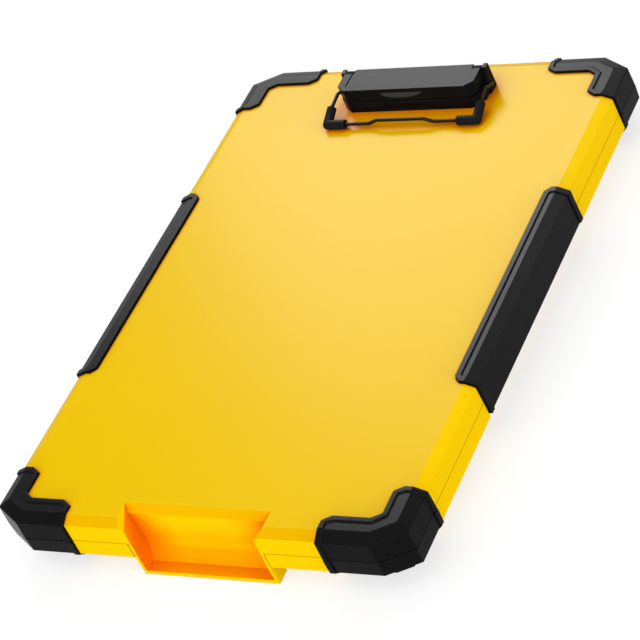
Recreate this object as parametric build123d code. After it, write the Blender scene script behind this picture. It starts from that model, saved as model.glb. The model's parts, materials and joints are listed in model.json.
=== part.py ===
from build123d import *
import math
import os

# Clipboard organizer case: a shallow two-shell case with a paper clip on its lid.
# Millimetres. +Z up, the clip end at +Y, the finger scoop at -Y, X across.
# The origin is the middle of the flat underside that the case rests on.

# The case's outside
case_width = 254.0
case_length = 367.4
base_height = 23.5
lid_height = 14.0
cut_past = 10.0
wall_lean = 0.8
bevel_in = 5.7
bevel_drop = 2.6
under_in = 14.0
under_rise = 13.3
corner_cut_x = 17.5
corner_cut_y = 10.4

# Shell walls
shell_wall = 2.4
inner_wall = 2.25
floor_thick = 2.4
lid_gap = 0.3
tongue_rise = 2.4
tongue_wall = 1.2
tongue_clear = 0.4
ledge_drop = 5.0

# Corner bumpers: soft covers, split at the parting line
bumper_sink = 2.0
bumper_proud = 0.9
rim_proud = 1.8
bumper_taper = 0.7
rim_width = 3.2
bumper_gap = 0.7
bumper_end_x = 48.8
bumper_end_y = 36.6
bumper_arm_x = 16.3
bumper_arm_y = 15.2
bumper_nick_x = 5.3
bumper_nick_y = 3.4

# Side latches: long flaps that wrap both shells
latch_length = 146.0
latch_offset = -2.5
latch_reach = 12.7
latch_wall = 2.2
latch_clear = 0.35
latch_side_gap = 0.4
latch_proud = 1.0
latch_flange = 3.6
latch_top_rim = 3.0
latch_low = 15.4
latch_nick = 3.6
latch_pivot_in = 6.5
latch_pivot_height = 11.0
latch_barrel_r = 2.6
latch_pin_r = 1.0
latch_pin_hold = 5.0
latch_pillar_in = 12.0
latch_pillar_top = 18.6
latch_channel_gap = 0.4

# Lid hinge at the clip end
hinge_out = 4.2
hinge_knuckle_r = 3.4
hinge_pin_r = 1.5
hinge_knuckle_length = 14.0
hinge_knuckle_gap = 0.4
hinge_spread = 50.0
run_clear = 0.06

# Finger scoop, moulded with the lid
scoop_half_back = 45.5
scoop_half_front = 40.1
scoop_flank = 5.5
scoop_flank_drop = 5.0
scoop_set_back = 10.1
scoop_strip_in = 3.9
scoop_strip_drop = 3.5
scoop_side = 2.0
scoop_wall = 1.8
scoop_foot = 0.2
scoop_floor_top = 2.8
scoop_floor_depth = 7.2
scoop_bend_height = 17.0
scoop_bend_steps = 6
scoop_clear = 0.5
notch_wall = 2.2

# Inside of the base
bay_end_in = 69.7
partition_wall = 2.0
partition_height = 12.0
tray_height = 17.0
tray_wall = 1.6
tray_clear = 0.4
pen_channel = 20.0
divider_thick = 1.6
divider_height = 13.0
divider_rib = 1.4
divider_spacing = 74.0
divider_clear = 0.1

# Paper clip on the lid, its places counted in from the case's clip end
clip_half_width = 46.0
clip_front_in = 42.9
clip_back_in = 22.2
clip_cut_x = 5.5
clip_cut_y = 4.5
clip_base_height = 7.6
clip_height = 16.5
clip_wall = 1.6
clip_floor = 2.1
clip_seam = 0.4
clip_rear_rise = 10.9
clip_ledge = 1.2
clip_ledge_length = 14.0
ear_thick = 2.6
ear_foot = 8.5
ear_head = 4.0
ear_top_drop = 0.3
cover_axis_in = 24.4
cover_axis_height = 14.2
cover_barrel_r = 1.75
cover_lug_length = 6.0
cover_pin_r = 0.9
cover_pin_reach = 5.0
cover_roof = 1.9
cover_panel_sink = 0.5
cover_side_border = 5.5
cover_front_border = 2.7
nail_width = 30.2
nail_shift = -2.3
nail_top = 13.7
nail_rise = 3.9
nail_point = 3.0
nail_depth = 1.3

# Spring bail
bail_wire_r = 1.1
bail_beside_clip = 4.0
bail_axis_in = 26.9
bail_axis_height = 4.9
bail_stub_in = 8.5
bail_arch_in = 35.4
bail_arch_height = 8.8
bail_bar_in = 56.9
bail_bend_r = 2.2
bail_hump_wide = 21.5
bail_hump_narrow = 15.5
bail_hump_rise = 2.3
bail_slope_in = 44.7
bail_slope_height = 7.5
sleeve_r = 2.85
sleeve_seat = 0.3
sleeve_leg = 10.7
sleeve_arm = 12.6
spring_wire_r = 0.5
spring_seat = 0.1
spring_pitch = 1.25
spring_turns = 4
spring_in = 7.4

# Screws and plate that hold the clip
screw_r = 1.3
screw_head_r = 2.8
screw_head_height = 1.6
screw_bite = 5.0
screw_end_in = 13.0
screw_line_in = 34.2
screw_hole_clear = 0.2
plate_thick = 1.2
plate_end_in = 6.0
plate_half_depth = 6.0

# Worked out from the sizes above
case_height = base_height + lid_height
half_w = case_width / 2
half_l = case_length / 2
cut_angle = math.atan2(corner_cut_y, corner_cut_x)
bevel_angle = math.atan2(bevel_drop, bevel_in)
latch_mid = latch_offset
bay_end = half_l - bay_end_in
clip_front = half_l - clip_front_in
clip_back = half_l - clip_back_in
cover_axis_back = half_l - cover_axis_in
screw_line = half_l - screw_line_in
bail_half_width = clip_half_width + bail_beside_clip
bail_stub_end = clip_half_width - bail_stub_in
bail_axis_back = half_l - bail_axis_in
bail_arch_back = half_l - bail_arch_in
bail_slope_back = half_l - bail_slope_in
bail_bar_back = half_l - bail_bar_in
spring_start = clip_half_width - spring_in
screw_end = clip_half_width - screw_end_in
screw_spots = (-screw_end, -screw_end / 3, screw_end / 3, screw_end)
plate_half_width = clip_half_width - plate_end_in
sides = (-1, 1)


def face_at(points, z=0.0):
    """Flat face through plan points at one height."""
    return Pos(0, 0, z) * make_face(Polyline(*points, close=True))


def outline(inset):
    """Plan points of the case, each edge moved in by the same amount."""
    x = half_w - inset
    y = half_l - inset
    cx = corner_cut_x - inset * (1 - math.tan(cut_angle / 2))
    cy = corner_cut_y - inset * (1 - math.tan((math.pi / 2 - cut_angle) / 2))
    return [
        (x - cx, -y), (x, -y + cy), (x, y - cy), (x - cx, y),
        (-x + cx, y), (-x, y - cy), (-x, -y + cy), (-x + cx, -y),
    ]


def wall_levels(grow):
    """Heights and insets down the case's side, the surface moved out by grow."""
    return [
        (0.0, under_in - grow),
        (under_rise, -grow),
        (case_height - bevel_drop + grow * math.tan((math.pi / 2 - bevel_angle) / 2), wall_lean - grow),
        (case_height + grow, wall_lean + bevel_in - grow * math.tan(bevel_angle / 2)),
    ]


def inset_at(levels, z):
    """Inset at a height, straight between the levels."""
    for (z0, i0), (z1, i1) in zip(levels, levels[1:]):
        if z <= z1:
            return i0 + (i1 - i0) * (z - z0) / (z1 - z0)
    return levels[-1][1]


def stack(levels, low, high):
    """Solid of the case's plan through levels of height and inset, between two heights."""
    high = min(high, levels[-1][0])
    inner = [(z, i) for z, i in levels if low + 0.01 < z < high - 0.01]
    steps = [(low, inset_at(levels, low))] + inner + [(high, inset_at(levels, high))]
    block = None
    for (z0, i0), (z1, i1) in zip(steps, steps[1:]):
        piece = loft([face_at(outline(i0), z0), face_at(outline(i1), z1)], ruled=True)
        block = piece if block is None else block + piece
    return block


def case_block(grow, low, high):
    """Solid of the case's outer shape moved out by grow, between two heights."""
    return stack(wall_levels(grow), low, high)


def bumper_block(proud, low, high):
    """Outer form of the bumpers, which draw in toward the underside."""
    upper = wall_levels(proud)
    near = proud - bumper_taper
    middle = (base_height, inset_at(upper, base_height))
    return stack([(0.0, under_in - near), (under_rise, -near), middle] + upper[2:], low, high)


def prism(points, low, high):
    """Upright prism through plan points."""
    return extrude(face_at(points, low), amount=high - low)


def bumper_plan(sx, sy, grow=0.0):
    """Plan of one corner bumper's area, its inner border moved by grow."""
    far = half_w + half_l
    x_end = half_w - bumper_end_x - grow
    y_end = half_l - bumper_end_y - grow
    x_in = half_w - bumper_arm_x - grow
    y_in = half_l - bumper_arm_y - grow
    nick = grow * (1 - math.tan(math.pi / 8))
    points = [
        (x_end, far), (x_end, y_in + bumper_nick_y + nick), (x_end + bumper_nick_x + nick, y_in),
        (x_in - bumper_nick_x + nick, y_in), (x_in, y_in - bumper_nick_y + nick),
        (x_in, y_end + bumper_nick_y + nick), (x_in + bumper_nick_x + nick, y_end),
        (far, y_end), (far, far),
    ]
    return [(sx * x, sy * y) for x, y in points]


def bumper_areas(grow, low, high):
    """The four corner areas as upright prisms."""
    return [prism(bumper_plan(sx, sy, grow), low, high) for sx in sides for sy in sides]


def latch_plan(side, grow=0.0, rim=0.0):
    """Plan of one side latch's area, its border moved out by grow, or in by rim."""
    far = half_w * 2
    x_in = half_w - latch_reach - grow + rim
    y_half = latch_length / 2 + grow - (latch_flange if rim else 0.0)
    nick = latch_nick * (0.3 if rim else 1.0)
    points = [
        (x_in, -y_half + nick), (x_in + nick, -y_half), (far, -y_half),
        (far, y_half), (x_in + nick, y_half), (x_in, y_half - nick),
    ]
    return [(side * x, latch_mid + y) for x, y in points]


def latch_areas(grow, low, high):
    """The two side latch areas as upright prisms."""
    return [prism(latch_plan(side, grow), low, high) for side in sides]


def shell_block(low, high):
    """Outer solid of a shell, sunk under the bumpers and the side latches."""
    tall = case_height + cut_past
    block = case_block(0.0, low, high)
    for area in bumper_areas(0.0, -1, tall) + latch_areas(latch_side_gap, -1, tall):
        block -= area
    sunk = case_block(-bumper_sink, low, high)
    for area in latch_areas(latch_side_gap, -1, tall):
        sunk -= area
    return block + sunk + case_block(-(latch_wall + latch_clear), low, high)


def cavity_block(low, high):
    """Hollow inside a shell, kept clear of the sunk areas."""
    tall = case_height + cut_past
    thick = latch_wall + latch_clear + inner_wall
    wide = case_block(-shell_wall, low, min(high, case_height - shell_wall))
    for area in bumper_areas(inner_wall, -1, tall) + latch_areas(inner_wall + latch_side_gap, -1, tall):
        wide -= area
    return wide + case_block(-thick, low, min(high, case_height - thick))


def rod(radius, start, end, y, z):
    """Round rod along X between two X places."""
    return Pos((start + end) / 2, y, z) * Rot(0, 90, 0) * Cylinder(radius, abs(end - start))


def rod_y(radius, start, end, x, z):
    """Round rod along Y between two Y places."""
    return Pos(x, (start + end) / 2, z) * Rot(90, 0, 0) * Cylinder(radius, abs(end - start))


def slab(x0, x1, y0, y1, z0, z1):
    """Plain box between two corners."""
    return Pos((x0 + x1) / 2, (y0 + y1) / 2, (z0 + z1) / 2) * Box(x1 - x0, y1 - y0, z1 - z0)


def side_profile(points, x0, x1):
    """Solid along X from a profile of (y, z) points."""
    face = Plane.YZ * make_face(Polyline(*points, close=True))
    return Pos(x0, 0, 0) * extrude(face, amount=x1 - x0)


# Lid hinge
hinge_y = half_l + hinge_out
hinge_z = base_height


def knuckle_span(group, index):
    """X places of one knuckle: 0 and 2 belong to the base, 1 to the lid."""
    pitch = hinge_knuckle_length + hinge_knuckle_gap
    mid = group * hinge_spread + (index - 1) * pitch
    return mid - hinge_knuckle_length / 2, mid + hinge_knuckle_length / 2


def knuckle(group, index, up):
    """One hinge knuckle with the web that joins it to its shell's end wall."""
    x0, x1 = knuckle_span(group, index)
    barrel = rod(hinge_knuckle_r, x0, x1, hinge_y, hinge_z)
    root = half_l - shell_wall / 2
    near = lid_gap / 2 * up
    web = side_profile([
        (root, hinge_z + near), (hinge_y, hinge_z + near),
        (hinge_y, hinge_z + up * hinge_knuckle_r), (root, hinge_z + up * 2 * hinge_knuckle_r),
    ], x0, x1)
    return barrel + web


def make_hinge_pin(group):
    """Steel pin through the three knuckles of one hinge."""
    start = knuckle_span(group, 0)[0]
    end = knuckle_span(group, 2)[1]
    return rod(hinge_pin_r, start, end, hinge_y, hinge_z)


# Side latch
latch_start = latch_mid - latch_length / 2
latch_end = latch_mid + latch_length / 2
pivot_x = half_w - latch_pivot_in


def latch_web(side, grow=0.0):
    """Face of the strip between the latch's wall and its hinge barrel."""
    wall_x = half_w - latch_wall
    points = [
        (wall_x - grow, latch_low + 2.4 + grow), (half_w + latch_proud * 0.6, latch_low + 2.4 + grow),
        (half_w + latch_proud * 0.6, latch_low - grow), (pivot_x + latch_barrel_r * 0.9, latch_pivot_height),
        (pivot_x, latch_pivot_height),
        (pivot_x - latch_barrel_r * 0.6 - grow, latch_pivot_height + latch_barrel_r * 0.8),
    ]
    return make_face(Polyline(*[(side * x, z) for x, z in points], close=True))


def along_latch(face, inset):
    """Solid along the latch from a face in the X-Z plane."""
    half = latch_length / 2 - inset
    return Pos(0, latch_mid, 0) * extrude(Plane.XZ * face, amount=half, both=True)


def make_latch(side):
    """Side latch: a flap over both shells, with a raised border and a hinge barrel."""
    tall = case_height + cut_past
    border = prism(latch_plan(side), latch_low, tall)
    field = prism(latch_plan(side, rim=latch_top_rim), latch_low, tall)
    shape = (border - field) & case_block(rim_proud, latch_low, tall)
    shape += field & case_block(latch_proud, latch_low, tall)
    shape -= case_block(-latch_wall, latch_low - 1, tall)
    shape += along_latch(latch_web(side), latch_flange / 2)
    shape += rod_y(latch_barrel_r, latch_start, latch_end, side * pivot_x, latch_pivot_height)
    bore = latch_pin_r + run_clear
    shape -= rod_y(bore, latch_start - 1, latch_end + 1, side * pivot_x, latch_pivot_height)
    return shape


def make_latch_pin(side):
    """Steel rod that the side latch turns on, held in the base at both ends."""
    gap = latch_side_gap + latch_pin_hold
    return rod_y(latch_pin_r, latch_start - gap, latch_end + gap, side * pivot_x, latch_pivot_height)


def latch_channel(side):
    """Room in the base for the latch's barrel and strip."""
    room = along_latch(latch_web(side, latch_channel_gap), -latch_side_gap)
    radius = latch_barrel_r + latch_channel_gap
    start = latch_start - latch_side_gap
    end = latch_end + latch_side_gap
    return room + rod_y(radius, start, end, side * pivot_x, latch_pivot_height)


# Scoop
front_y = -half_l


def scoop_top_back():
    """Y place where the scoop starts on the lid's top face."""
    return front_y + wall_lean + bevel_in + scoop_set_back


def scoop_half(y, z):
    """Half width of the scoop, which widens toward its back and its top."""
    widen = (scoop_half_back - scoop_half_front) / (scoop_top_back() - front_y)
    return scoop_half_front + (y - front_y) * widen * z / case_height


def scoop_sides(extra, back, high):
    """Room between the scoop's sides, moved out by extra, up to a back line and a height."""
    faces = []
    for z in (-1, high):
        near, far = front_y - 5, back
        half_near = scoop_half(near, z) + extra
        half_far = scoop_half(far, z) + extra
        faces.append(face_at([(-half_near, near), (half_near, near), (half_far, far), (-half_far, far)], z))
    return loft(faces, ruled=True)


def scoop_flanks(extra):
    """Room over the sloped flanks where the scoop's sides meet the top face."""
    high = case_height + 1
    low = case_height - scoop_flank_drop - extra
    slope = scoop_flank / scoop_flank_drop
    half = scoop_half_back + extra * slope
    wide = half + (high - case_height) * slope
    narrow = half + (low - case_height) * slope
    points = [(-wide, high), (wide, high), (narrow, low), (-narrow, low)]
    face = Plane.XZ * make_face(Polyline(*points, close=True))
    return Pos(0, scoop_top_back(), 0) * extrude(face, amount=2 * scoop_set_back + 2 * bevel_in)


def scoop_back(shift):
    """Points of the scoop's back surface from the top down, moved back by shift."""
    top_y = scoop_top_back() + shift
    wall_y = top_y - scoop_strip_in
    foot_y = front_y + scoop_floor_depth + shift
    points = [(top_y, case_height), (wall_y, case_height - scoop_strip_drop)]
    for step in range(scoop_bend_steps + 1):
        part = step / scoop_bend_steps
        y = wall_y + (foot_y - wall_y) * part * part
        z = scoop_bend_height + (scoop_floor_top - scoop_bend_height) * part
        points.append((y, z))
    return points


def scoop_room():
    """The hollow of the scoop."""
    back = scoop_back(0.0)
    out = front_y - 4
    points = [(back[0][0], case_height + 1)] + back + [(out, scoop_floor_top), (out, case_height + 1)]
    profile = side_profile(points, -half_w, half_w)
    return profile & (scoop_sides(0.0, scoop_top_back() + 2, case_height + 2) + scoop_flanks(0.0))


def scoop_block():
    """Outer form of the scoop's walls, before the scoop is hollowed."""
    back = scoop_back(scoop_wall)
    points = back + [
        (back[-1][0], scoop_foot), (front_y, scoop_foot), (front_y, under_rise),
        (front_y + wall_lean, case_height - bevel_drop), (front_y + wall_lean + bevel_in, case_height),
    ]
    profile = side_profile(points, -half_w, half_w)
    walls = scoop_sides(scoop_side, scoop_top_back() + scoop_wall + 2, case_height + 2)
    return profile & (walls + scoop_flanks(scoop_side))


def notch_back():
    """Y place of the base's wall behind the scoop."""
    return scoop_back(scoop_wall)[1][0] + scoop_clear


def notch_half():
    """Half width of the base's notch for the scoop."""
    return scoop_half_back + scoop_side + scoop_clear


def base_notch():
    """Cut through the base's front wall for the scoop, with the same slanted sides."""
    return scoop_sides(scoop_side + scoop_clear, notch_back(), base_height + cut_past)


# Shells
def rim_plan(extra):
    """Face of the inside of the rim at the parting line, moved in by extra."""
    lean = wall_lean * (base_height - under_rise) / (case_height - bevel_drop - under_rise)
    thick = latch_wall + latch_clear + inner_wall
    wide = face_at(outline(lean + shell_wall + extra))
    for sx in sides:
        for sy in sides:
            wide -= face_at(bumper_plan(sx, sy, inner_wall + extra))
        wide -= face_at(latch_plan(sx, inner_wall + latch_side_gap + extra))
    return wide + face_at(outline(lean + thick + extra))


def rim_ring(outer, inner, low, high):
    """Ring that follows the inside of the rim."""
    ring = rim_plan(outer) - rim_plan(inner)
    return Pos(0, 0, low) * extrude(ring, amount=high - low)


def make_base_shell():
    """Lower shell: floor, walls, rim, hinge knuckles and the room for latches and scoop."""
    top = base_height - lid_gap / 2
    shell = shell_block(0.0, top)
    hollow = cavity_block(floor_thick, base_height + 1)
    pillar_x = half_w - latch_pillar_in
    hold = latch_pin_hold + latch_side_gap + 1.5
    for side in sides:
        hollow -= slab(*sorted((side * pillar_x, side * case_width)), latch_start - hold, latch_end + hold,
                       0, latch_pillar_top)
    front_block = notch_back() + notch_wall
    hollow -= slab(-notch_half() - notch_wall, notch_half() + notch_wall, front_y, front_block,
                   0, base_height + 2)
    shell -= hollow
    ledge_low = base_height - ledge_drop
    shell += rim_ring(-shell_wall / 2, tongue_clear + tongue_wall, ledge_low, top)
    shell += rim_ring(tongue_clear, tongue_clear + tongue_wall, top - 1, top + tongue_rise)
    shell += slab(-tray_half(), tray_half(), bay_end, bay_end + partition_wall,
                  floor_thick / 2, floor_thick + partition_height)
    shell -= base_notch()
    for side in sides:
        shell -= latch_channel(side)
        gap = latch_side_gap + latch_pin_hold
        shell -= rod_y(latch_pin_r, latch_start - gap, latch_end + gap, side * pivot_x, latch_pivot_height)
    for group in sides:
        shell += knuckle(group, 0, -1) + knuckle(group, 2, -1)
        shell -= make_hinge_pin(group)
    return shell


def make_lid_shell():
    """Upper shell: writing face, bevelled walls, scoop and hinge knuckles."""
    low = base_height + lid_gap / 2
    shell = shell_block(low, case_height)
    hollow = cavity_block(low - 1, case_height) - scoop_block()
    shell -= hollow
    shell += scoop_block()
    shell -= scoop_room()
    for group in sides:
        shell += knuckle(group, 1, 1)
        x0, x1 = knuckle_span(group, 1)
        shell -= rod(hinge_pin_r + run_clear, x0 - 1, x1 + 1, hinge_y, hinge_z)
    for x in screw_spots:
        shell -= Pos(x, screw_line, case_height) * Cylinder(screw_r + screw_hole_clear, 3 * shell_wall)
    return shell


def make_bumper(sx, sy, low, high):
    """Half of a corner bumper: a raised border around a flatter field."""
    area = prism(bumper_plan(sx, sy), low, high)
    field = prism(bumper_plan(sx, sy, -rim_width), low, high)
    shape = (area - field) & bumper_block(rim_proud, low, high)
    shape += field & bumper_block(bumper_proud, low, high)
    return shape - case_block(-bumper_sink, low - 1, high)


def make_lid_bumper(sx, sy):
    """Upper half of a corner bumper."""
    return make_bumper(sx, sy, base_height + bumper_gap / 2, case_height + 2 * rim_proud)


def make_base_bumper(sx, sy):
    """Lower half of a corner bumper."""
    return make_bumper(sx, sy, 0.0, base_height - bumper_gap / 2)


# Inside of the base
def floor_inset():
    """Inset of the hollow's edge at the floor, where its wall is thickest."""
    return inset_at(wall_levels(-(latch_wall + latch_clear + inner_wall)), floor_thick)


def tray_half():
    """Half width of the tray, inside the hollow's cut corners at the floor."""
    inset = floor_inset()
    cut = corner_cut_x - inset * (1 - math.tan(cut_angle / 2))
    return half_w - inset - max(cut, 0.0) - tray_clear


def tray_span():
    """Front and back of the tray."""
    return bay_end + partition_wall + tray_clear, half_l - floor_inset() - tray_clear


def channel_end():
    """Back of the tray's pen channel, where its wall starts."""
    return tray_span()[0] + tray_wall + pen_channel


def divider_span():
    """Front and back of the tray's room for dividers."""
    return channel_end() + tray_wall, tray_span()[1] - tray_wall


def make_pen_tray():
    """Open tray with a long channel for pens and ribs that hold two dividers."""
    front, back = tray_span()
    top = floor_thick + tray_height
    tray = slab(-tray_half(), tray_half(), front, back, floor_thick, top)
    tray -= slab(-tray_half() + tray_wall, tray_half() - tray_wall, front + tray_wall, channel_end(),
                 floor_thick + tray_wall, top + 1)
    near, far = divider_span()
    tray -= slab(-tray_half() + tray_wall, tray_half() - tray_wall, near, far,
                 floor_thick + tray_wall, top + 1)
    groove = divider_thick / 2 + divider_clear
    for side in sides:
        x = side * divider_spacing / 2
        low = floor_thick + tray_wall
        for step in sides:
            x0, x1 = sorted((x + step * groove, x + step * (groove + tray_wall)))
            for y0, y1 in ((near, near + divider_rib), (far - divider_rib, far)):
                tray += slab(x0, x1, y0, y1, low, low + divider_height)
    return tray


def make_divider(side):
    """Loose plate that stands in the tray's ribs."""
    near, far = divider_span()
    x = side * divider_spacing / 2
    low = floor_thick + tray_wall
    return slab(x - divider_thick / 2, x + divider_thick / 2, near, far, low, low + divider_height)


# Paper clip
def clip_plan(inset):
    """Plan of the clip, its front corners cut, each edge moved in by inset."""
    x = clip_half_width - inset
    front = clip_front + inset
    back = clip_back - inset
    cut_x = clip_cut_x - inset * (1 - math.tan(math.pi / 8))
    cut_y = clip_cut_y - inset * (1 - math.tan(math.pi / 8))
    return [
        (-x + cut_x, front), (x - cut_x, front), (x, front + cut_y),
        (x, back), (-x, back), (-x, front + cut_y),
    ]


def above(height):
    """Height over the lid's top face as a height over the table."""
    return case_height + height


def make_clip_body():
    """Lower half of the clip with its ears, hinge lugs and rear wall."""
    body = prism(clip_plan(0.0), case_height, above(clip_base_height))
    body -= prism(clip_plan(clip_wall), above(clip_floor), above(clip_height))
    lug_in = clip_half_width - cover_lug_length
    body += slab(-lug_in, lug_in, clip_back - clip_wall, clip_back, case_height, above(clip_rear_rise))
    lug_r = cover_barrel_r + 0.1
    for side in sides:
        x0, x1 = sorted((side * lug_in, side * clip_half_width))
        body += slab(x0, x1, clip_back - clip_wall, clip_back, case_height, above(clip_rear_rise))
        body += slab(x0, x1, cover_axis_back - lug_r, cover_axis_back + lug_r,
                     above(clip_base_height), above(cover_axis_height))
        body += rod(lug_r, x0, x1, cover_axis_back, above(cover_axis_height))
        x0, x1 = sorted((side * (clip_half_width - clip_wall / 2), side * (clip_half_width + ear_thick)))
        low_ear = side_profile([
            (clip_back, case_height), (clip_back, above(clip_base_height)),
            (clip_back - ear_foot, above(clip_base_height)), (clip_back - ear_foot, case_height),
        ], x0, x1)
        x0, x1 = sorted((side * clip_half_width, side * (clip_half_width + ear_thick)))
        ear = side_profile([
            (clip_back, case_height), (clip_back, above(clip_height - ear_top_drop)),
            (clip_back - ear_head, above(clip_height - ear_top_drop)), (clip_back - ear_foot, case_height),
        ], x0, x1)
        body += (low_ear & prism(clip_plan(0.0), case_height, above(clip_base_height))) + ear
        x0, x1 = sorted((side * (clip_half_width - clip_wall / 2), side * (clip_half_width + clip_ledge)))
        body += slab(x0, x1, clip_back - clip_ledge_length, clip_back, case_height, above(clip_base_height))
        reach = clip_half_width + ear_thick
        body -= rod(bail_wire_r + run_clear, side * bail_stub_end, side * (reach + 1),
                    bail_axis_back, above(bail_axis_height))
    for x in screw_spots:
        body -= Pos(x, screw_line, case_height) * Cylinder(screw_r + screw_hole_clear, 3 * clip_floor)
    return body - make_cover_pins()


def make_cover_pins():
    """Two short steel pins that the clip's cover turns on."""
    inner = clip_half_width - cover_lug_length - cover_pin_reach
    pins = [rod(cover_pin_r, side * inner, side * clip_half_width, cover_axis_back, above(cover_axis_height))
            for side in sides]
    return Compound(pins)


def nail_pocket():
    """Recess for a fingernail on the front of the clip's cover, deepest at its top edge."""
    left = nail_shift - nail_width / 2
    right = nail_shift + nail_width / 2
    top = above(nail_top)
    middle = above(nail_top - nail_rise / 2)
    low = above(nail_top - nail_rise)
    edge = [
        Line((left, top), (right, top)),
        Line((right, top), (right - nail_point, middle)),
        ThreePointArc((right - nail_point, middle), (nail_shift, low), (left + nail_point / 2, middle)),
        Line((left + nail_point / 2, middle), (left, top)),
    ]
    face = clip_front + clip_seam
    recess = Pos(0, face, 0) * extrude(Plane.XZ * make_face(edge), amount=2 * nail_depth, both=True)
    slope = [(face - nail_depth, low), (face, low), (face + nail_depth, top), (face - nail_depth, top)]
    return recess & side_profile(slope, left, right)


def make_clip_cover():
    """Hinged cover of the clip: a shallow cap with a raised border on top."""
    low = above(clip_base_height + clip_seam)
    top = above(clip_height)
    back = cover_axis_back + cover_barrel_r
    cover = prism(clip_plan(clip_seam), low, top)
    inner = prism(clip_plan(clip_seam + clip_wall), low - 1, top - cover_roof)
    inner_x = clip_half_width - clip_seam - clip_wall
    inner += slab(-inner_x, inner_x, clip_back - 3 * clip_wall, clip_back + 1, low - 1, top - cover_roof)
    cover -= inner
    cover -= slab(-clip_half_width, clip_half_width, back, clip_back + 1, low - 1, top + 1)
    border_x = clip_half_width - cover_side_border
    border_y = clip_front + cover_front_border
    panel_back = clip_back + 1
    panel = [
        (-border_x + clip_cut_x / 2, border_y), (border_x - clip_cut_x / 2, border_y),
        (border_x, border_y + clip_cut_y / 2), (border_x, panel_back), (-border_x, panel_back),
        (-border_x, border_y + clip_cut_y / 2),
    ]
    cover -= prism(panel, top - cover_panel_sink, top + 1)
    hinge_half = clip_half_width - cover_lug_length - clip_seam
    cover += rod(cover_barrel_r, -hinge_half, hinge_half, cover_axis_back, above(cover_axis_height))
    lug_front = cover_axis_back - cover_barrel_r - 0.1 - clip_seam
    for side in sides:
        x0, x1 = sorted((side * hinge_half, side * (clip_half_width + 1)))
        cover -= slab(x0, x1, lug_front, clip_back + 1, low - 1, top + 1)
        inner = hinge_half - cover_pin_reach - clip_seam
        cover -= rod(cover_pin_r + run_clear, side * inner, side * clip_half_width,
                     cover_axis_back, above(cover_axis_height))
    return cover - nail_pocket()


def make_clip_screws():
    """Four screws through the clip's floor and the lid into the backing plate."""
    screws = []
    end = case_height - shell_wall - screw_bite / 2
    for x in screw_spots:
        length = above(clip_floor) - end
        shank = Pos(x, screw_line, end + length / 2) * Cylinder(screw_r, length)
        seat = above(clip_floor)
        head = Pos(x, screw_line, seat + screw_head_height / 2) * Cylinder(screw_head_r, screw_head_height)
        head = chamfer(head.edges().group_by(Axis.Z)[-1], screw_head_height / 3)
        recess = Pos(x, screw_line, seat + screw_head_height) * Box(screw_r, 2.6 * screw_r, 1.0)
        cross = Pos(x, screw_line, seat + screw_head_height) * Box(2.6 * screw_r, screw_r, 1.0)
        screws.append(shank + head - recess - cross)
    return Compound(screws)


def make_clip_plate():
    """Steel plate under the lid's top that the clip's screws pull on."""
    top = case_height - shell_wall
    plate = slab(-plate_half_width, plate_half_width, screw_line - plate_half_depth,
                 screw_line + plate_half_depth, top - plate_thick, top)
    plate = fillet(plate.edges().filter_by(Axis.Z), plate_half_depth / 3)
    for x in screw_spots:
        plate -= Pos(x, screw_line, top) * Cylinder(screw_r, 4 * plate_thick)
    return plate


# Bail
def bail_bar_height():
    """Height of the bail's straight bar over the lid's top face."""
    return sleeve_r + sleeve_seat


def bail_points():
    """Centre line of the bail from its left stub to its right stub."""
    bar = above(bail_bar_height())
    half = [
        (bail_stub_end, bail_axis_back, above(bail_axis_height)),
        (bail_half_width, bail_axis_back, above(bail_axis_height)),
        (bail_half_width, bail_arch_back, above(bail_arch_height)),
        (bail_half_width, bail_slope_back, above(bail_slope_height)),
        (bail_half_width, bail_bar_back, bar),
        (bail_hump_wide, bail_bar_back, bar),
        (bail_hump_narrow, bail_bar_back, bar + bail_hump_rise),
    ]
    left = [(-x, y, z) for x, y, z in half]
    return left + half[::-1]


def bent(points, radius, bend):
    """Round wire along a bent centre line."""
    path = FilletPolyline(*points, radius=bend)
    start = Plane(origin=path @ 0, z_dir=path % 0)
    return sweep(start * Circle(radius), path=path)


def make_bail_wire():
    """One steel wire bent into the bail."""
    return bent(bail_points(), bail_wire_r, bail_bend_r)


def straight(start, end, radius):
    """Round rod between two points."""
    path = Line(start, end)
    return sweep(Plane(origin=path @ 0, z_dir=path % 0) * Circle(radius), path=path)


def make_sleeve(side):
    """Soft sleeve around one corner of the bail: an arm and a leg that meet in a ball."""
    bar = above(bail_bar_height())
    rise = (above(bail_slope_height) - bar) / (bail_slope_back - bail_bar_back)
    corner = (side * bail_half_width, bail_bar_back, bar)
    arm_end = (side * (bail_half_width - sleeve_arm), bail_bar_back, bar)
    leg_end = (side * bail_half_width, bail_bar_back + sleeve_leg, bar + rise * sleeve_leg)
    sleeve = straight(corner, arm_end, sleeve_r) + straight(corner, leg_end, sleeve_r)
    sleeve += Pos(*corner) * Sphere(sleeve_r)
    return sleeve - make_bail_wire()


def make_spring(side):
    """Torsion spring around the bail's stub, lying in the clip's floor."""
    height = spring_pitch * spring_turns
    mean_r = bail_axis_height - clip_floor - spring_seat - spring_wire_r
    path = Helix(spring_pitch, height, mean_r)
    coil = sweep(Plane(origin=path @ 0, z_dir=path % 0) * Circle(spring_wire_r), path=path, is_frenet=True)
    spring = Pos(spring_start, bail_axis_back, above(bail_axis_height)) * Rot(0, 90, 0) * coil
    return spring if side > 0 else mirror(spring, about=Plane.YZ)


names = {-1: "left", 1: "right"}
ends = {-1: "front", 1: "rear"}


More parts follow.
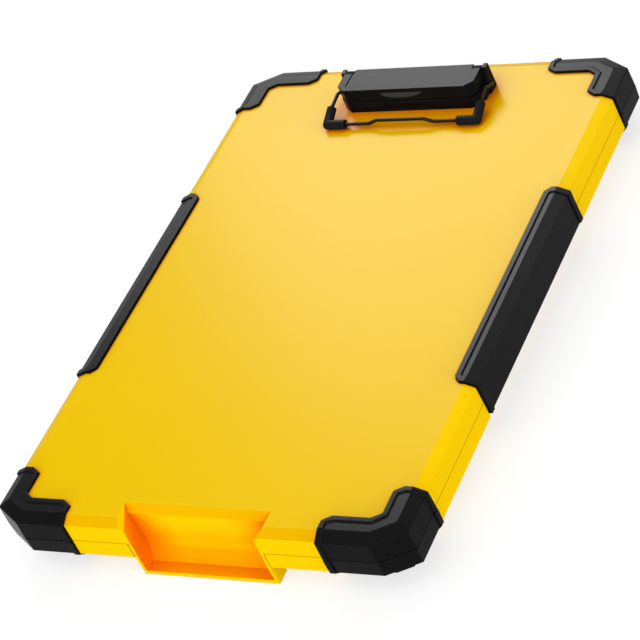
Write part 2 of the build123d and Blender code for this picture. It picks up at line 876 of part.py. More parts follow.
def make_all():
    """Every node of the case by name."""
    nodes = {
        "base_shell": make_base_shell(),
        "lid_shell": make_lid_shell(),
        "pen_tray": make_pen_tray(),
        "clip_body": make_clip_body(),
        "clip_cover": make_clip_cover(),
        "cover_pins": make_cover_pins(),
        "clip_screws": make_clip_screws(),
        "clip_plate": make_clip_plate(),
        "bail_wire": make_bail_wire(),
    }
    for side in sides:
        word = names[side]
        nodes["latch_" + word] = make_latch(side)
        nodes["latch_pin_" + word] = make_latch_pin(side)
        nodes["hinge_pin_" + word] = make_hinge_pin(side)
        nodes["divider_" + word] = make_divider(side)
        nodes["sleeve_" + word] = make_sleeve(side)
        nodes["spring_" + word] = make_spring(side)
        for end in sides:
            place = ends[end] + "_" + word
            nodes["bumper_lid_" + place] = make_lid_bumper(side, end)
            nodes["bumper_base_" + place] = make_base_bumper(side, end)
    return nodes


os.makedirs("parts", exist_ok=True)
for node, shape in make_all().items():
    export_step(shape, "parts/" + node + ".step")
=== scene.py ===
import json
import math

import bmesh
import bpy
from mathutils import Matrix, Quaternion, Vector


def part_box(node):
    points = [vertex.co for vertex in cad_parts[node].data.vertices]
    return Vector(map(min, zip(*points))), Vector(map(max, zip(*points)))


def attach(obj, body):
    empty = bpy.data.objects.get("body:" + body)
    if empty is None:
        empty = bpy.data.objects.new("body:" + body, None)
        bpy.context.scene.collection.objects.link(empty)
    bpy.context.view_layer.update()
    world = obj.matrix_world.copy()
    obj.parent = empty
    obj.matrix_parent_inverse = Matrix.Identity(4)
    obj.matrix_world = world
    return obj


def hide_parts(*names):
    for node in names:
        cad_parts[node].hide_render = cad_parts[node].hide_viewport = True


bl_info = {
    "name": "Clipboard organizer case",
    "version": (1, 0, 0),
    "blender": (4, 5, 0),
    "location": "3D View > Sidebar > Clipboard case",
    "description": "Dresses a storage clipboard with its finishes, edges and studio",
    "category": "Object",
}

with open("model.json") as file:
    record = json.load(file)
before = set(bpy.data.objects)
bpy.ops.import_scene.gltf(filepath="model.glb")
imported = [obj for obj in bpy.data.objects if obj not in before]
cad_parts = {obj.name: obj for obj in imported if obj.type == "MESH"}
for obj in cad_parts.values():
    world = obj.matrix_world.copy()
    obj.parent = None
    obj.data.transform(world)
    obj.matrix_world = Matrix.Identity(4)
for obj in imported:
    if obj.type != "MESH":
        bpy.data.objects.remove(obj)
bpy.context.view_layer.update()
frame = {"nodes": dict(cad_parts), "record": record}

MM = 0.001
SIDES = ("left", "right")
ENDS = ("front", "rear")
BUMPER_NODES = {
    body: ["bumper_{}_{}_{}".format(body, end, side) for end in ENDS for side in SIDES]
    for body in ("lid", "base")
}

# How a copied mesh is cleaned before its edges are rounded.
MERGE_WITHIN = 0.004 * MM
FLAT_WITHIN = math.radians(0.6)
SMOOTH_BELOW = math.radians(32)

# Angle from which two faces meet in an edge: on flat-sided pieces, and on round ones, whose facets aren't edges.
FLAT_SIDED = math.radians(14)
ROUND_SIDED = math.radians(50)
SEAM_WITHIN = 0.5 * MM

# The nail pocket's slanted floor looks forward and a little up.
POCKET_FACING = (0.0, -0.949, 0.316)
POCKET_WITHIN = math.radians(8)

# Where the yellow takes a painted orange shade, which stands in for the shade and the bounced light in its
# recesses and next to pieces that stand on it. The first two pairs are the open share around a spot at which the
# painted shade starts and at which it is full, for the piece's own walls and for all that stands near it. The last
# pair is how far a face has to look up for the second kind of painted shade.
PAINTED_SHADE_REACH = 24 * MM
PAINTED_SHADE_OWN_WALLS = (0.96, 0.72)
PAINTED_SHADE_NEARBY = (0.92, 0.5)
PAINTED_SHADE_UPWARD = (0.3, 0.8)

# Where the yellow takes a painted deeper shade on the sloped bands at the front, which stands in for the dimmer
# light that these bands get: along an axis of the face's direction, the value at which the painted shade starts
# and the value at which it is full. The faces aren't flat, aren't upright and look forward.
PAINTED_FRONT_SHADE = (("Z", 0.96, 0.93), ("Z", 0.25, 0.35), ("Y", -0.1, -0.3))

# A colour drifts over patches of this size. Moulded grain is really about 0.1 mm across, and the streaks on drawn
# steel are finer still. Both would be too fine to show, so the finishes draw them at 0.5 to 0.7 mm.
DRIFT_MM = 111

# How much lighter the drift also makes a black, which has almost no colour to scale.
BLACK_DRIFT = 0.01

# Edges are this much lighter, partly as wear and partly as a painted highlight. They start where the softened
# normal is this near to the true one, as a cosine, and are full at the second value.
WORN_AND_HIGHLIGHT_TIMES = 2.2
WORN_AND_HIGHLIGHT_LIFT = 0.015
WORN_AND_HIGHLIGHT_EDGE = (0.995, 0.90)

# Streaks on steel run along the case's width, nearly seven times as long as they are wide.
STREAK_STRETCH = (0.15, 1.0, 1.0)

# Reach of the rounding that the light shows on a plastic's edges beyond the mesh's own.
SOFT_EDGE = 0.5 * MM

# The floor lies a little under the case. It gives back part of the lamps' light, and looks lighter than that.
FLOOR_SIZE = 12.0
FLOOR_DROP = 0.2 * MM
FLOOR_GREY = (0.36, 0.36, 0.36, 1)
FLOOR_LIFT = (0.7, 0.7, 0.7, 1)
WHITE = (1, 1, 1, 1)

# Each lamp's name, its width and height, and its place, in metres. A card only shows as a reflection and gives no
# diffuse light.
LAMPS = (
    ("key", (0.72, 0.58), (-1.04, 1.6, 1.34), "lamp"),
    ("sheen", (0.72, 0.58), (-1.04, 1.6, 1.34), "card"),
    ("front", (1.8, 1.0), (0.2, -3.4, 0.28), "lamp"),
    ("beside", (1.8, 1.0), (3.35, -0.4, 0.28), "lamp"),
    ("overhead", (2.4, 2.4), (-0.35, -0.7, 2.35), "lamp"),
    ("rim", (0.9, 0.7), (0.37, 1.52, 1.54), "card"),
)

SENSOR_MM = 36.0
NEAR_LIMIT = 0.05


class CaseSizes(bpy.types.PropertyGroup):
    """Sizes of the fine detail on the case."""

    shell_edge: bpy.props.FloatProperty(
        name="Shell edge", description="Rounding of the yellow shells' edges",
        default=0.7 * MM, min=0.0, unit="LENGTH")
    bumper_edge: bpy.props.FloatProperty(
        name="Bumper edge", description="Rounding of the corner bumpers' edges",
        default=0.55 * MM, min=0.0, unit="LENGTH")
    latch_edge: bpy.props.FloatProperty(
        name="Latch edge", description="Rounding of the side latches' edges",
        default=0.5 * MM, min=0.0, unit="LENGTH")
    clip_edge: bpy.props.FloatProperty(
        name="Clip edge", description="Rounding of the clip's edges",
        default=0.4 * MM, min=0.0, unit="LENGTH")
    sleeve_edge: bpy.props.FloatProperty(
        name="Sleeve edge", description="Rounding of the soft sleeves' edges",
        default=0.45 * MM, min=0.0, unit="LENGTH")
    tray_edge: bpy.props.FloatProperty(
        name="Tray edge", description="Rounding of the tray's and dividers' edges",
        default=0.35 * MM, min=0.0, unit="LENGTH")
    metal_edge: bpy.props.FloatProperty(
        name="Metal edge", description="Rounding of the steel pieces' edges",
        default=0.15 * MM, min=0.0, unit="LENGTH")
    seam_share: bpy.props.FloatProperty(
        name="Seam share", description="Share of the rounding that the edges along the parting line get",
        default=0.06, min=0.0, max=1.0)


class CaseColours(bpy.types.PropertyGroup):
    """Colours of the finishes, as sRGB hex values."""

    shell: bpy.props.StringProperty(
        name="Shell", description="Yellow of the moulded shells", default="F6C900")
    # Painted deeper shade on the sloped bands at the front, where less light falls.
    slope: bpy.props.StringProperty(
        name="Slope", description="Deeper yellow of the sloped bands at the front", default="E7B000")
    # Painted orange shade that stands in for the shade and bounced light in the yellow's recesses and next to
    # pieces that stand on it.
    painted_recess_shade: bpy.props.StringProperty(
        name="Recess", description="Orange that the yellow turns to in its recesses", default="EF8000")
    bumper: bpy.props.StringProperty(
        name="Bumper", description="Black of the soft corner bumpers", default="0C0C0D")
    latch: bpy.props.StringProperty(
        name="Latch", description="Black of the side latches", default="0C0C0D")
    clip: bpy.props.StringProperty(
        name="Clip", description="Black of the paper clip", default="0F0F10")
    sleeve: bpy.props.StringProperty(
        name="Sleeve", description="Black of the bail's soft sleeves", default="151516")
    pocket: bpy.props.StringProperty(
        name="Pocket", description="Black of the clip's polished nail pocket", default="161616")
    wire: bpy.props.StringProperty(
        name="Wire", description="Dark oxide of the bail's wire", default="262220")
    zinc: bpy.props.StringProperty(
        name="Zinc", description="Zinc plating of pins, screws and springs", default="A6A9AC")
    tray: bpy.props.StringProperty(
        name="Tray", description="Dark grey of the tray", default="48494C")


class StudioSettings(bpy.types.PropertyGroup):
    """Camera and lights."""

    aim: bpy.props.FloatVectorProperty(
        name="Aim", description="Point that the camera looks at",
        default=(14.2 * MM, -31.6 * MM, 37.5 * MM), subtype="TRANSLATION")
    distance: bpy.props.FloatProperty(
        name="Distance", description="From the camera to the point it looks at", default=1.3897, unit="LENGTH")
    azimuth: bpy.props.FloatProperty(
        name="Azimuth", description="Turn of the view from the case's front toward its right side",
        default=math.radians(41.71), subtype="ANGLE")
    elevation: bpy.props.FloatProperty(
        name="Elevation", description="Height of the view over the horizon",
        default=math.radians(37.28), subtype="ANGLE")
    roll: bpy.props.FloatProperty(
        name="Roll", description="Tilt of the camera about its own view line",
        default=math.radians(-27.65), subtype="ANGLE")
    lens: bpy.props.FloatProperty(
        name="Lens", description="Focal length in millimetres on a 36 mm sensor", default=144.33)
    ambient: bpy.props.FloatProperty(
        name="Ambient", description="Light from all round", default=0.54)
    key: bpy.props.FloatProperty(
        name="Key", description="Power of the soft lamp behind the case", default=7.5, unit="POWER")
    sheen: bpy.props.FloatProperty(
        name="Sheen", description="Power of the card in the key lamp's place that only shows as a reflection",
        default=94.0, unit="POWER")
    front: bpy.props.FloatProperty(
        name="Front", description="Power of the low lamp in front of the case", default=82.0, unit="POWER")
    beside: bpy.props.FloatProperty(
        name="Beside", description="Power of the low lamp on the case's right", default=74.0, unit="POWER")
    overhead: bpy.props.FloatProperty(
        name="Overhead", description="Power of the large soft lamp over the case", default=19.0, unit="POWER")
    rim: bpy.props.FloatProperty(
        name="Rim", description="Power of the card high behind the case that only shows as a reflection",
        default=14.0, unit="POWER")


def linear(hex_colour):
    """Linear colour of an sRGB hex value."""
    channels = [int(hex_colour[i:i + 2], 16) / 255 for i in (0, 2, 4)]
    return [c / 12.92 if c <= 0.04045 else ((c + 0.055) / 1.055) ** 2.4 for c in channels] + [1.0]


def scaled(colour, factor, lift=0.0):
    """A linear colour made lighter or darker."""
    return [min(c * factor + lift, 1.0) for c in colour[:3]] + [1.0]


def add_node(tree, kind, settings=None, inputs=None, links=None):
    """A shader node with its settings, socket values and incoming links."""
    node = tree.nodes.new(kind)
    for name, value in (settings or {}).items():
        setattr(node, name, value)
    for name, value in (inputs or {}).items():
        node.inputs[name].default_value = value
    for name, output in (links or {}).items():
        tree.links.new(output, node.inputs[name])
    return node


def new_finish(name):
    """An empty material, its tree and its output node."""
    material = bpy.data.materials.new(name)
    material.use_nodes = True
    tree = material.node_tree
    tree.nodes.clear()
    output = tree.nodes.new("ShaderNodeOutputMaterial")
    return material, tree, output


def closed_in(tree, open_shares, own_walls):
    """How closed in a spot is, from zero in the clear to one deep in a recess, which sets where the painted orange
    shade goes.
    """
    nearby = add_node(tree, "ShaderNodeAmbientOcclusion", {"samples": 8, "only_local": own_walls},
                      {"Distance": PAINTED_SHADE_REACH})
    clear, deep = open_shares
    share = add_node(tree, "ShaderNodeMapRange", inputs={"From Min": clear, "From Max": deep},
                     links={"Value": nearby.outputs["AO"]})
    return share.outputs["Result"]


def face_direction(tree):
    """The direction that a spot faces in, which stays the same when its body turns."""
    facing = add_node(tree, "ShaderNodeTexCoord").outputs["Normal"]
    return add_node(tree, "ShaderNodeSeparateXYZ", links={"Vector": facing}).outputs


def painted_orange_shade_share(tree):
    """Share of the painted orange shade: one in a recess, and on a face that looks up close to a piece that stands
    on it.
    """
    start, full = PAINTED_SHADE_UPWARD
    upward = add_node(tree, "ShaderNodeMapRange", inputs={"From Min": start, "From Max": full},
                      links={"Value": face_direction(tree)["Z"]})
    beside = add_node(tree, "ShaderNodeMath", {"operation": "MULTIPLY"},
                      links={0: closed_in(tree, PAINTED_SHADE_NEARBY, False), 1: upward.outputs["Result"]})
    deeper = add_node(tree, "ShaderNodeMath", {"operation": "MAXIMUM"},
                      links={0: closed_in(tree, PAINTED_SHADE_OWN_WALLS, True), 1: beside.outputs["Value"]})
    return deeper.outputs["Value"]


def painted_front_shade_share(tree):
    """Share of the painted deeper shade: one on the sloped bands that look forward and up."""
    facing = face_direction(tree)
    level, upright, forward = [
        add_node(tree, "ShaderNodeMapRange", inputs={"From Min": start, "From Max": full},
                 links={"Value": facing[axis]}).outputs["Result"]
        for axis, start, full in PAINTED_FRONT_SHADE]
    sloped = add_node(tree, "ShaderNodeMath", {"operation": "MULTIPLY"}, links={0: level, 1: upright})
    band = add_node(tree, "ShaderNodeMath", {"operation": "MULTIPLY"},
                    links={0: sloped.outputs["Value"], 1: forward})
    return band.outputs["Value"]


def wear_and_highlight_share(tree, soft_normal, wear_and_highlight):
    """The given share of wear and painted highlight at edges, where the softened normal leaves the true one, and
    zero on the faces.
    """
    start, full = WORN_AND_HIGHLIGHT_EDGE
    true_normal = add_node(tree, "ShaderNodeNewGeometry").outputs["True Normal"]
    match = add_node(tree, "ShaderNodeVectorMath", {"operation": "DOT_PRODUCT"},
                     links={0: soft_normal, 1: true_normal})
    edge = add_node(tree, "ShaderNodeMapRange",
                    inputs={"From Min": start, "From Max": full, "To Min": 0.0, "To Max": wear_and_highlight},
                    links={"Value": match.outputs["Value"]})
    return edge.outputs["Result"]


def moulded_plastic(name, hex_colour, roughness, grain_mm, grain_depth_mm, drift=0.04, gloss=0.05, wear_and_highlight=0.0,
                    painted_recess_shade=None, slope=None):
    """Injection-moulded plastic or rubber.

    The mould's spark-eroded grain breaks up the gloss, the colour drifts a little over the piece, and edges are
    slightly lighter, partly as wear where they get handled and partly as a painted highlight. A bright plastic
    takes a painted orange shade where its walls light each other and next to pieces that stand on it, and a
    painted deeper shade on the sloped bands at the front. The gloss is well under the 0.5 of a typical plastic,
    because faces that mirror the pale surroundings stay dark in the photograph.
    """
    material, tree, output = new_finish(name)
    place = add_node(tree, "ShaderNodeTexCoord").outputs["Object"]
    grain = add_node(tree, "ShaderNodeTexNoise",
                     inputs={"Scale": 1 / (grain_mm * MM), "Detail": 3.0, "Roughness": 0.6},
                     links={"Vector": place})
    patches = add_node(tree, "ShaderNodeTexNoise", inputs={"Scale": 1 / (DRIFT_MM * MM), "Detail": 2.0},
                       links={"Vector": place})
    soft_normal = add_node(tree, "ShaderNodeBevel", {"samples": 4}, {"Radius": SOFT_EDGE}).outputs["Normal"]

    base = linear(hex_colour)
    colour = add_node(tree, "ShaderNodeMix", {"data_type": "RGBA"},
                      {"A": scaled(base, 1 - drift), "B": scaled(base, 1 + drift, drift * BLACK_DRIFT)},
                      {"Factor": patches.outputs["Fac"]}).outputs["Result"]
    tints = []
    # Painted deeper shade on the forward-looking sloped bands.
    if slope:
        tints.append((linear(slope), painted_front_shade_share(tree)))
    # Painted orange shade in recesses and next to pieces that stand on the face.
    if painted_recess_shade:
        tints.append((linear(painted_recess_shade), painted_orange_shade_share(tree)))
    # Lighter edges, partly wear and partly a painted highlight.
    if wear_and_highlight:
        tints.append((scaled(base, WORN_AND_HIGHLIGHT_TIMES, WORN_AND_HIGHLIGHT_LIFT), wear_and_highlight_share(tree, soft_normal, wear_and_highlight)))
    for tint, share in tints:
        colour = add_node(tree, "ShaderNodeMix", {"data_type": "RGBA"}, {"B": tint},
                          {"Factor": share, "A": colour}).outputs["Result"]

    bump = add_node(tree, "ShaderNodeBump", inputs={"Strength": 0.35, "Distance": grain_depth_mm * MM},
                    links={"Height": grain.outputs["Fac"], "Normal": soft_normal})
    spread = 0.04
    rough = add_node(tree, "ShaderNodeMapRange",
                     inputs={"From Min": 0.3, "From Max": 0.7, "To Min": roughness - spread,
                             "To Max": roughness + spread},
                     links={"Value": grain.outputs["Fac"]})
    shader = add_node(tree, "ShaderNodeBsdfPrincipled",
                      inputs={"IOR": 1.5, "Specular IOR Level": gloss},
                      links={"Base Color": colour, "Roughness": rough.outputs["Result"],
                             "Normal": bump.outputs["Normal"]})
    tree.links.new(shader.outputs["BSDF"], output.inputs["Surface"])
    return material


def drawn_steel(name, hex_colour, roughness, streak_mm):
    """Drawn or turned steel with a thin plating or oxide: a metal with fine streaks that vary its gloss."""
    material, tree, output = new_finish(name)
    place = add_node(tree, "ShaderNodeTexCoord").outputs["Object"]
    stretch = add_node(tree, "ShaderNodeMapping", inputs={"Scale": STREAK_STRETCH}, links={"Vector": place})
    streaks = add_node(tree, "ShaderNodeTexNoise",
                       inputs={"Scale": 1 / (streak_mm * MM), "Detail": 4.0},
                       links={"Vector": stretch.outputs["Vector"]}).outputs["Fac"]
    base = linear(hex_colour)
    colour = add_node(tree, "ShaderNodeMix", {"data_type": "RGBA"}, {"A": scaled(base, 0.8), "B": base},
                      {"Factor": streaks})
    spread = 0.08
    rough = add_node(tree, "ShaderNodeMapRange",
                     inputs={"To Min": roughness - spread, "To Max": roughness + spread},
                     links={"Value": streaks})
    bump = add_node(tree, "ShaderNodeBump", inputs={"Strength": 0.2, "Distance": 0.02 * MM},
                    links={"Height": streaks})
    shader = add_node(tree, "ShaderNodeBsdfPrincipled", inputs={"Metallic": 1.0},
                      links={"Base Color": colour.outputs["Result"], "Roughness": rough.outputs["Result"],
                             "Normal": bump.outputs["Normal"]})
    tree.links.new(shader.outputs["BSDF"], output.inputs["Surface"])
    return material


def yellow_abs():
    """ABS moulded with a satin skin: a saturated yellow that goes paler where it mirrors the light, with a painted
    orange shade in its recesses, where it only sees itself, and next to pieces that stand on it, and a painted
    deeper shade on the sloped bands at the front."""
    colours = bpy.context.scene.case_colours
    return moulded_plastic("abs_yellow_moulded", colours.shell, roughness=0.25, grain_mm=0.5, grain_depth_mm=0.03,
                           drift=0.015, gloss=0.0085, painted_recess_shade=colours.painted_recess_shade, slope=colours.slope)


def bumper_rubber():
    """Thermoplastic rubber moulded in a grained tool: nearly black, with a soft grey sheen on the faces that
    mirror the light and greyer edges, partly worn where the corners get knocked and partly a painted highlight."""
    colours = bpy.context.scene.case_colours
    return moulded_plastic("tpe_rubber_moulded", colours.bumper, roughness=0.27, grain_mm=0.7, grain_depth_mm=0.04,
                           gloss=0.031, wear_and_highlight=0.5)


def latch_nylon():
    """Nylon moulded in a grained tool: as dark as the bumpers and with a slightly finer grain."""
    colours = bpy.context.scene.case_colours
    # The lighter edges are partly wear and partly a painted highlight.
    return moulded_plastic("nylon_black_moulded", colours.latch, roughness=0.27, grain_mm=0.6, grain_depth_mm=0.04,
                           gloss=0.031, wear_and_highlight=0.5)


def clip_abs():
    """ABS moulded in a fine tool: a smoother black than the rubber, with thin lighter edges that are partly wear
    and partly a painted highlight.
    """
    colours = bpy.context.scene.case_colours
    return moulded_plastic("abs_black_gloss", colours.clip, roughness=0.28, grain_mm=0.5, grain_depth_mm=0.02,
                           gloss=0.026, wear_and_highlight=0.35)


def pocket_abs():
    """The clip's ABS where its tool was polished: a clear, bright reflection in the nail pocket."""
    colours = bpy.context.scene.case_colours
    return moulded_plastic("abs_black_polished", colours.pocket, roughness=0.12, grain_mm=0.5,
                           grain_depth_mm=0.005, gloss=0.5)


def sleeve_rubber():
    """Soft rubber over the wire's corners: a matt black that spreads the light and shows no clear reflection."""
    colours = bpy.context.scene.case_colours
    return moulded_plastic("rubber_black_dipped", colours.sleeve, roughness=0.5, grain_mm=0.6, grain_depth_mm=0.04,
                           gloss=0.03)


def tray_polypropylene():
    """Moulded polypropylene: a waxy, matt dark grey."""
    colours = bpy.context.scene.case_colours
    return moulded_plastic("polypropylene_grey_moulded", colours.tray, roughness=0.5, grain_mm=0.6,
                           grain_depth_mm=0.04)


def wire_steel():
    """Spring wire, drawn and blackened: a dark brown-grey metal with a faint sheen along its length."""
    colours = bpy.context.scene.case_colours
    return drawn_steel("steel_black_oxide", colours.wire, roughness=0.35, streak_mm=0.6)


def zinc_steel():
    """Turned or stamped steel, zinc plated: a light cool grey metal whose fine streaks blur what it mirrors."""
    colours = bpy.context.scene.case_colours
    return drawn_steel("steel_zinc_plated", colours.zinc, roughness=0.32, streak_mm=0.5)


def body_of_node(node):
    """Name of the moving body that holds a node."""
    for body, nodes in frame["record"]["behaviour"]["bodies"].items():
        if node in nodes:
            return body
    raise RuntimeError("no body holds " + node)


def parting_height():
    """Height of the line where the case's two halves meet."""
    lid_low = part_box(BUMPER_NODES["lid"][0])[0][2]
    base_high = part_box(BUMPER_NODES["base"][0])[1][2]
    return (lid_low + base_high) / 2


def weigh_edges(piece, corner):
    """Bevel weights for the sharp edges, small along the parting line so that its gap stays fine."""
    seam = parting_height()
    share = bpy.context.scene.case_sizes.seam_share
    mesh = bmesh.new()
    mesh.from_mesh(piece.data)
    weight = mesh.edges.layers.float.new("bevel_weight_edge")
    for edge in mesh.edges:
        if len(edge.link_faces) == 2 and edge.calc_face_angle() > corner:
            at_seam = all(abs(point.co.z - seam) < SEAM_WITHIN for point in edge.verts)
            edge[weight] = share if at_seam else 1.0
    mesh.to_mesh(piece.data)
    mesh.free()


def dress(node, finish, edge, corner=FLAT_SIDED, segments=3):
    """A copy of a node with joined faces and rounded edges, which stands for the node."""
    source = frame["nodes"][node]
    piece = source.copy()
    piece.data = source.data.copy()
    piece.name = node + "_finished"
    for key in list(piece.keys()):
        del piece[key]
    piece.parent = None
    bpy.context.scene.collection.objects.link(piece)
    bpy.ops.object.select_all(action="DESELECT")
    piece.select_set(True)
    bpy.context.view_layer.objects.active = piece
    bpy.ops.object.mode_set(mode="EDIT")
    bpy.ops.mesh.select_all(action="SELECT")
    bpy.ops.mesh.remove_doubles(threshold=MERGE_WITHIN)
    bpy.ops.mesh.dissolve_limited(angle_limit=FLAT_WITHIN)
    bpy.ops.object.mode_set(mode="OBJECT")
    if edge:
        weigh_edges(piece, corner)
        rounding = piece.modifiers.new("Rounding", "BEVEL")
        rounding.width = edge
        rounding.segments = segments
        rounding.limit_method = "WEIGHT"
        rounding.use_clamp_overlap = True
        rounding.miter_outer = "MITER_ARC"
        bpy.ops.object.modifier_apply(modifier=rounding.name)
    bpy.ops.object.shade_smooth_by_angle(angle=SMOOTH_BELOW)
    weighting = piece.modifiers.new("Flat faces", "WEIGHTED_NORMAL")
    weighting.keep_sharp = True
    bpy.ops.object.modifier_apply(modifier=weighting.name)
    piece.data.materials.clear()
    piece.data.materials.append(finish)
    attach(piece, body_of_node(node))
    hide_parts(node)
    return piece


class CASE_OT_shells(bpy.types.Operator):
    """Dress the two yellow shells"""

    bl_idname = "clipboard_case.shells"
    bl_label = "Shells"

    def execute(self, context):
        edge = context.scene.case_sizes.shell_edge
        finish = yellow_abs()
        dress("base_shell", finish, edge)
        dress("lid_shell", finish, edge)
        return {"FINISHED"}


class CASE_OT_bumpers(bpy.types.Operator):
    """Dress the corner bumpers"""

    bl_idname = "clipboard_case.bumpers"
    bl_label = "Corner bumpers"

    def execute(self, context):
        edge = context.scene.case_sizes.bumper_edge
        finish = bumper_rubber()
        for nodes in BUMPER_NODES.values():
            for node in nodes:
                dress(node, finish, edge)
        return {"FINISHED"}


class CASE_OT_latches(bpy.types.Operator):
    """Dress the side latches"""

    bl_idname = "clipboard_case.latches"
    bl_label = "Side latches"

    def execute(self, context):
        edge = context.scene.case_sizes.latch_edge
        finish = latch_nylon()
        for side in SIDES:
            dress("latch_" + side, finish, edge)
        return {"FINISHED"}


def polish_pocket(cover, finish):
    """Give the slanted floor of the cover's nail pocket its polished finish."""
    cover.data.materials.append(finish)
    facing = Vector(POCKET_FACING)
    for face in cover.data.polygons:
        if face.normal.angle(facing, math.pi) < POCKET_WITHIN:
            face.material_index = 1


class CASE_OT_clip(bpy.types.Operator):
    """Dress the paper clip and its spring bail"""

    bl_idname = "clipboard_case.clip"
    bl_label = "Paper clip"

    def execute(self, context):
        sizes = context.scene.case_sizes
        moulded = clip_abs()
        polished = pocket_abs()
        rubber = sleeve_rubber()
        wire = wire_steel()
        dress("clip_body", moulded, sizes.clip_edge)
        polish_pocket(dress("clip_cover", moulded, sizes.clip_edge), polished)
        dress("bail_wire", wire, 0.0)
        for side in SIDES:
            dress("sleeve_" + side, rubber, sizes.sleeve_edge, corner=ROUND_SIDED)
        return {"FINISHED"}


class CASE_OT_hardware(bpy.types.Operator):
    """Dress the pins, screws, plate and springs"""

    bl_idname = "clipboard_case.hardware"
    bl_label = "Hardware"

    def execute(self, context):
        edge = context.scene.case_sizes.metal_edge
        zinc = zinc_steel()
        for node in ("cover_pins", "clip_screws", "clip_plate"):
            dress(node, zinc, edge, corner=ROUND_SIDED, segments=2)
        for side in SIDES:
            dress("hinge_pin_" + side, zinc, edge, corner=ROUND_SIDED, segments=2)
            dress("latch_pin_" + side, zinc, edge, corner=ROUND_SIDED, segments=2)
            dress("spring_" + side, zinc, 0.0)
        return {"FINISHED"}


class CASE_OT_tray(bpy.types.Operator):
    """Dress the tray and its dividers"""

    bl_idname = "clipboard_case.tray"
    bl_label = "Tray"

    def execute(self, context):
        edge = context.scene.case_sizes.tray_edge
        finish = tray_polypropylene()
        dress("pen_tray", finish, edge)
        for side in SIDES:
            dress("divider_" + side, finish, edge)
        return {"FINISHED"}


def seen_rays(tree):
    """One for rays that the eye sees straight, mirrored or through glass, and zero for the light itself."""
    rays = add_node(tree, "ShaderNodeLightPath").outputs
    mirrored = add_node(tree, "ShaderNodeMath", {"operation": "MAXIMUM"},
                        links={0: rays["Is Glossy Ray"], 1: rays["Is Transmission Ray"]})
    seen = add_node(tree, "ShaderNodeMath", {"operation": "MAXIMUM"},
                    links={0: rays["Is Camera Ray"], 1: mirrored.outputs["Value"]})
    return seen.outputs["Value"]


def add_camera(studio):
    """The camera at the photograph's viewing angle."""
    across = math.cos(studio.elevation)
    back = Vector((math.sin(studio.azimuth) * across, -math.cos(studio.azimuth) * across,
                   math.sin(studio.elevation)))
    camera = bpy.data.objects.new("camera", bpy.data.cameras.new("camera"))
    camera.data.sensor_width = SENSOR_MM
    camera.data.lens = studio.lens
    camera.data.clip_start = NEAR_LIMIT
    camera.location = Vector(studio.aim) + back * studio.distance
    camera.rotation_mode = "QUATERNION"
    unrolled = (-back).to_track_quat("-Z", "Y")
    camera.rotation_quaternion = unrolled @ Quaternion((0, 0, 1), studio.roll)
    bpy.context.scene.collection.objects.link(camera)
    bpy.context.scene.camera = camera


def add_floor():
    """Plain paper under the case: matt, nearly white to the eye, and darker for the light that it gives back, so
    that the case's shadow and its own colours stay."""
    bpy.ops.object.select_all(action="DESELECT")
    bpy.ops.mesh.primitive_plane_add(size=FLOOR_SIZE, location=(0, 0, -FLOOR_DROP))
    floor = bpy.context.object
    bpy.ops.object.transform_apply(location=True)
    floor.name = "floor"
    material, tree, output = new_finish("paper_white_sweep")
    paper = add_node(tree, "ShaderNodeBsdfDiffuse", inputs={"Color": FLOOR_GREY})
    lift = add_node(tree, "ShaderNodeEmission", inputs={"Color": FLOOR_LIFT}, links={"Strength": seen_rays(tree)})
    both = add_node(tree, "ShaderNodeAddShader",
                    links={0: paper.outputs["BSDF"], 1: lift.outputs["Emission"]})
    tree.links.new(both.outputs["Shader"], output.inputs["Surface"])
    floor.data.materials.append(material)


def add_surroundings(studio):
    """Light from all round that looks white to the eye and in reflections."""
    world = bpy.data.worlds.new("studio")
    bpy.context.scene.world = world
    world.use_nodes = True
    tree = world.node_tree
    tree.nodes.clear()
    output = tree.nodes.new("ShaderNodeOutputWorld")
    strength = add_node(tree, "ShaderNodeMapRange", inputs={"To Min": studio.ambient, "To Max": 1.0},
                        links={"Value": seen_rays(tree)})
    sky = add_node(tree, "ShaderNodeBackground", inputs={"Color": WHITE},
                   links={"Strength": strength.outputs["Result"]})
    tree.links.new(sky.outputs["Background"], output.inputs["Surface"])


def add_lamp(name, size, place, power, card):
    """Soft rectangular lamp, or a card that only shows as a reflection, that points at the case."""
    lamp = bpy.data.lights.new(name, "AREA")
    lamp.shape = "RECTANGLE"
    lamp.size, lamp.size_y = size
    lamp.energy = power
    holder = bpy.data.objects.new(name, lamp)
    holder.location = place
    holder.rotation_mode = "QUATERNION"
    holder.rotation_quaternion = (-Vector(place)).to_track_quat("-Z", "Y")
    holder.visible_diffuse = not card
    bpy.context.scene.collection.objects.link(holder)


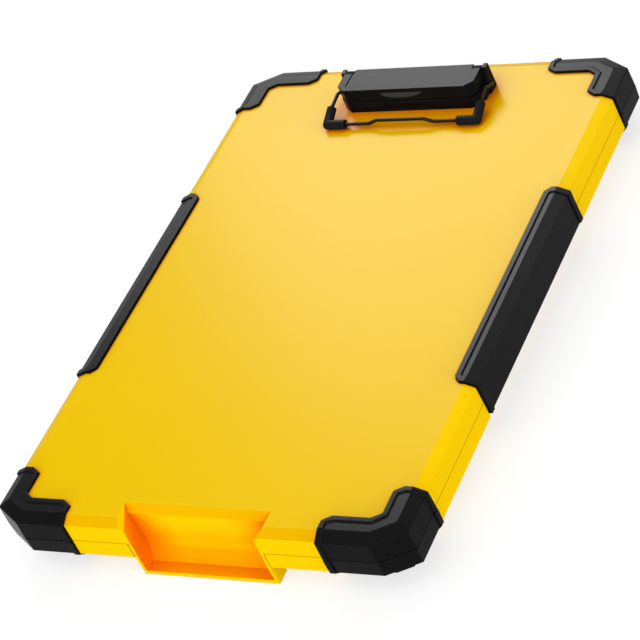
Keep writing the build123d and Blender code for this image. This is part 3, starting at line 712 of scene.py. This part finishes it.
class CASE_OT_studio(bpy.types.Operator):
    """Set up the camera, the floor and the light"""

    bl_idname = "clipboard_case.studio"
    bl_label = "Studio"

    def execute(self, context):
        studio = context.scene.case_studio
        add_camera(studio)
        add_floor()
        add_surroundings(studio)
        for name, size, place, kind in LAMPS:
            add_lamp(name, size, place, getattr(studio, name), kind == "card")
        context.scene.view_settings.view_transform = "Standard"
        return {"FINISHED"}


class CASE_PT_panel(bpy.types.Panel):
    """Sidebar panel with the case's steps, sizes and colours"""

    bl_idname = "CASE_PT_panel"
    bl_label = "Clipboard case"
    bl_space_type = "VIEW_3D"
    bl_region_type = "UI"
    bl_category = "Clipboard case"

    def draw(self, context):
        layout = self.layout
        for operator in OPERATORS:
            layout.operator(operator.bl_idname)
        for group in (context.scene.case_sizes, context.scene.case_colours, context.scene.case_studio):
            box = layout.box()
            for name in group.bl_rna.properties.keys():
                if name not in ("rna_type", "name"):
                    box.prop(group, name)


OPERATORS = (CASE_OT_shells, CASE_OT_bumpers, CASE_OT_latches, CASE_OT_clip, CASE_OT_hardware, CASE_OT_tray,
             CASE_OT_studio)
GROUPS = (CaseSizes, CaseColours, StudioSettings)


def register():
    for item in GROUPS + OPERATORS + (CASE_PT_panel,):
        bpy.utils.register_class(item)
    bpy.types.Scene.case_sizes = bpy.props.PointerProperty(type=CaseSizes)
    bpy.types.Scene.case_colours = bpy.props.PointerProperty(type=CaseColours)
    bpy.types.Scene.case_studio = bpy.props.PointerProperty(type=StudioSettings)


def unregister():
    del bpy.types.Scene.case_studio
    del bpy.types.Scene.case_colours
    del bpy.types.Scene.case_sizes
    for item in reversed(GROUPS + OPERATORS + (CASE_PT_panel,)):
        bpy.utils.unregister_class(item)


def main():
    register()
    bpy.ops.clipboard_case.shells()
    bpy.ops.clipboard_case.bumpers()
    bpy.ops.clipboard_case.latches()
    bpy.ops.clipboard_case.clip()
    bpy.ops.clipboard_case.hardware()
    bpy.ops.clipboard_case.tray()
    bpy.ops.clipboard_case.studio()


if __name__ == "__main__":
    main()
